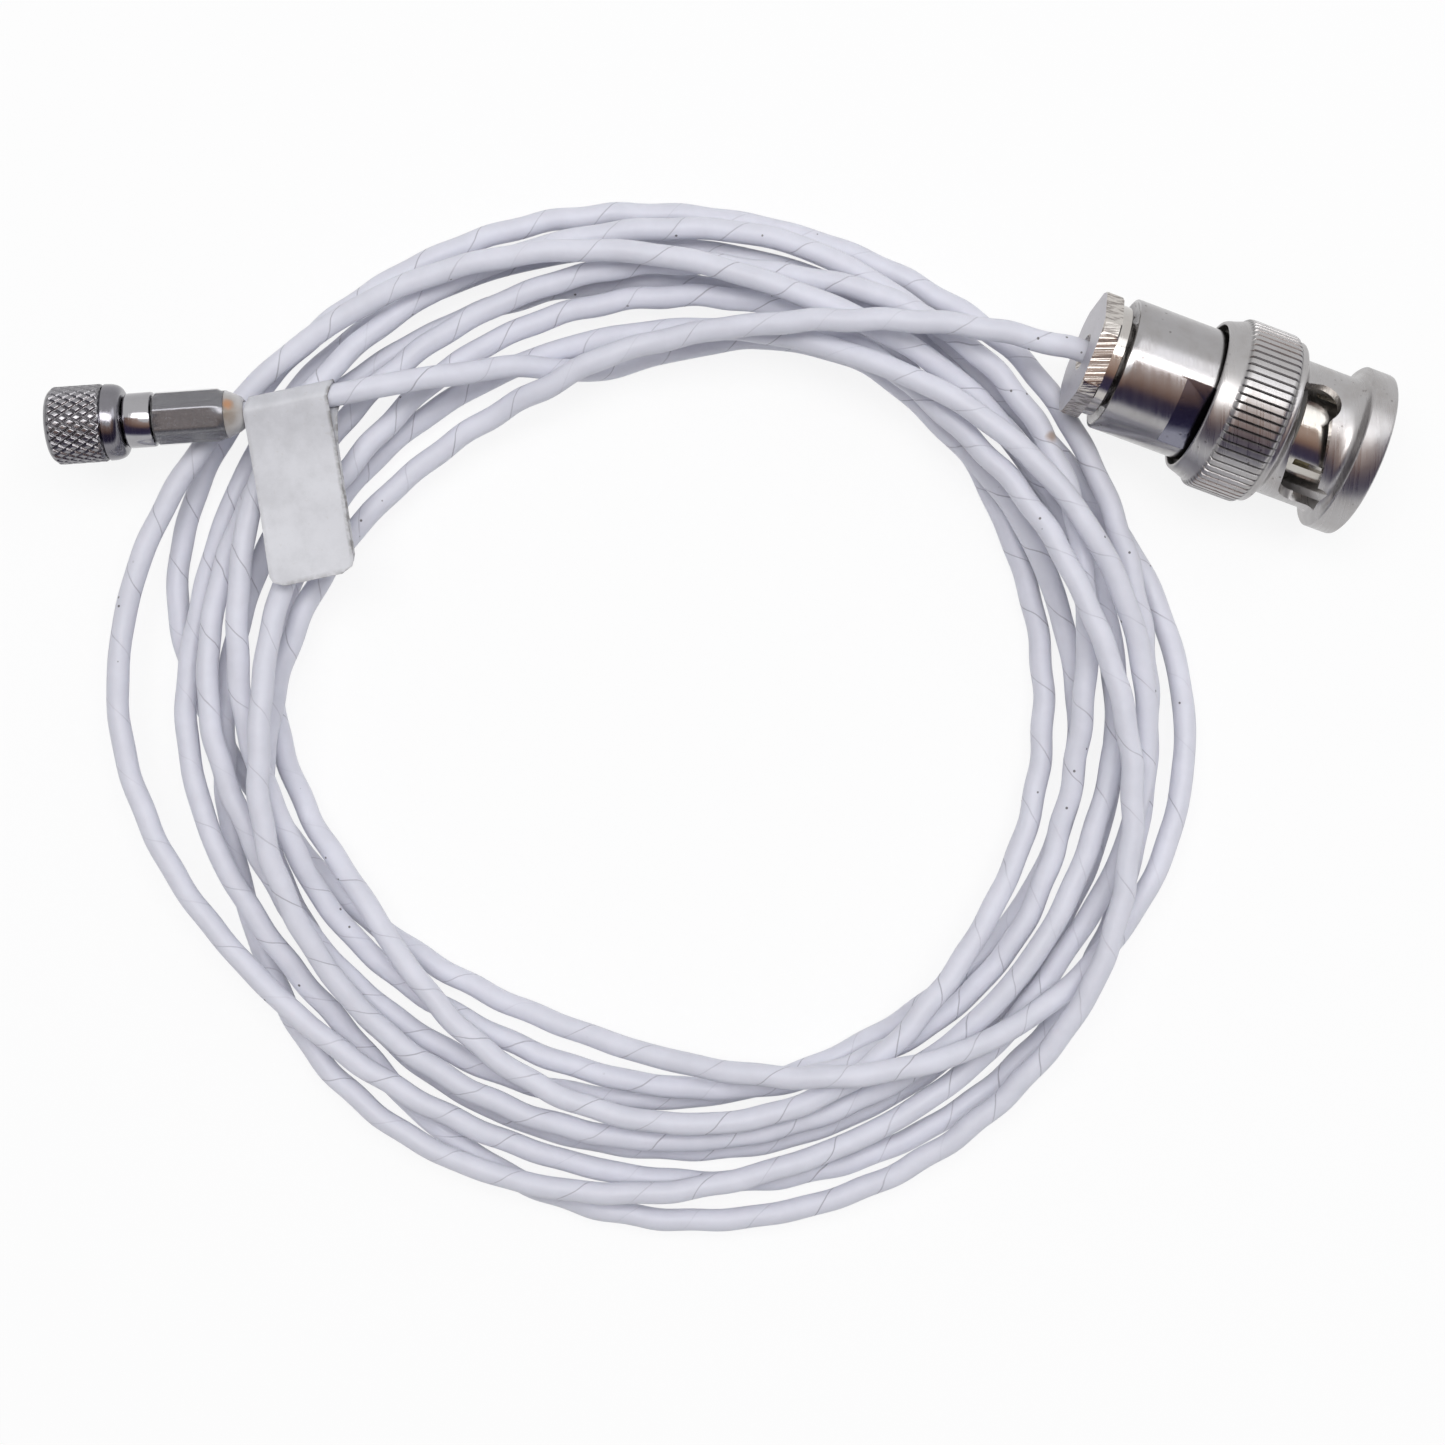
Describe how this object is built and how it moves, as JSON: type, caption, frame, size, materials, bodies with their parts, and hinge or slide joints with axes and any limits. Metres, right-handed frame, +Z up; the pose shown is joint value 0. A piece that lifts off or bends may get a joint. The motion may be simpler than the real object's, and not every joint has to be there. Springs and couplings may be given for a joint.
{
  "type": "instrument cable",
  "caption": "Coiled low-noise coaxial instrument cable with a 10-32 coaxial plug, a bayonet BNC plug and a flag label.",
  "frame": {"origin": "on the surface that the coil lies on, under the middle of the box round the two plugs", "axes": "+X from the 10-32 plug towards the BNC plug, +Y away from the coil's middle towards the plugs' side, +Z up"},
  "size_m": [0.1104, 0.087, 0.0153],
  "materials": {
    "cable_white": "matte",
    "label_white": "satin",
    "nickel": "satin",
    "steel": "polished",
    "gold": "polished",
    "brass_plain": "satin",
    "shrink": "gloss",
    "rubber_dark": "matte",
    "rubber_red": "matte",
    "dielectric": "satin",
    "copper_silvered": "polished"
  },
  "bodies": {
    "cable": {"cable_coil": "cable_white", "cable_tail_plug": "cable_white", "cable_tail_bnc": "cable_white", "flag_label": "label_white", "plug_gasket": "rubber_dark", "plug_body": "steel", "plug_insulator": "dielectric", "plug_contact_pin": "gold", "plug_crimp_sleeve": "brass_plain", "plug_heat_shrink": "shrink", "plug_end_dielectric": "dielectric", "plug_end_wire": "copper_silvered", "bnc_clamp_nut": "nickel", "bnc_slip_washer": "nickel", "bnc_clamp_gasket": "rubber_dark", "bnc_braid_clamp": "brass_plain", "bnc_body": "nickel", "bnc_outer_contact": "nickel", "bnc_front_gasket": "rubber_red", "bnc_insulator": "dielectric", "bnc_centre_pin": "gold", "bnc_end_dielectric": "dielectric", "bnc_end_wire": "copper_silvered"},
    "bnc_spring": {"bnc_thrust_washer": "nickel", "bnc_wave_washers": "steel"},
    "bnc_coupling": {"bnc_coupling_sleeve": "nickel"},
    "nut_ring": {"plug_retaining_ring": "brass_plain"},
    "coupling_nut": {"plug_nut": "steel"}
  },
  "joints": [
    {"name": "bnc_coupling_slide", "type": "slide", "parent": "cable", "child": "bnc_spring", "axis": [0.9385, -0.3342, -0.0872], "range_m": [0, 0.001], "stiffness_N_per_m": 4000, "springref_m": -0.001},
    {"name": "bnc_coupling_turn", "type": "hinge", "parent": "bnc_spring", "child": "bnc_coupling", "pos_m": [0.04015, 0.0007, 0.00809], "axis": [0.9385, -0.3342, -0.0872], "continuous": true},
    {"name": "nut_play", "type": "slide", "parent": "cable", "child": "nut_ring", "axis": [-0.9976, -0.0698, 0], "range_m": [0, 0.0003]},
    {"name": "nut_turn", "type": "hinge", "parent": "nut_ring", "child": "coupling_nut", "pos_m": [-0.04987, -0.00133, 0.009], "axis": [-0.9976, -0.0698, 0], "continuous": true}
  ]
}
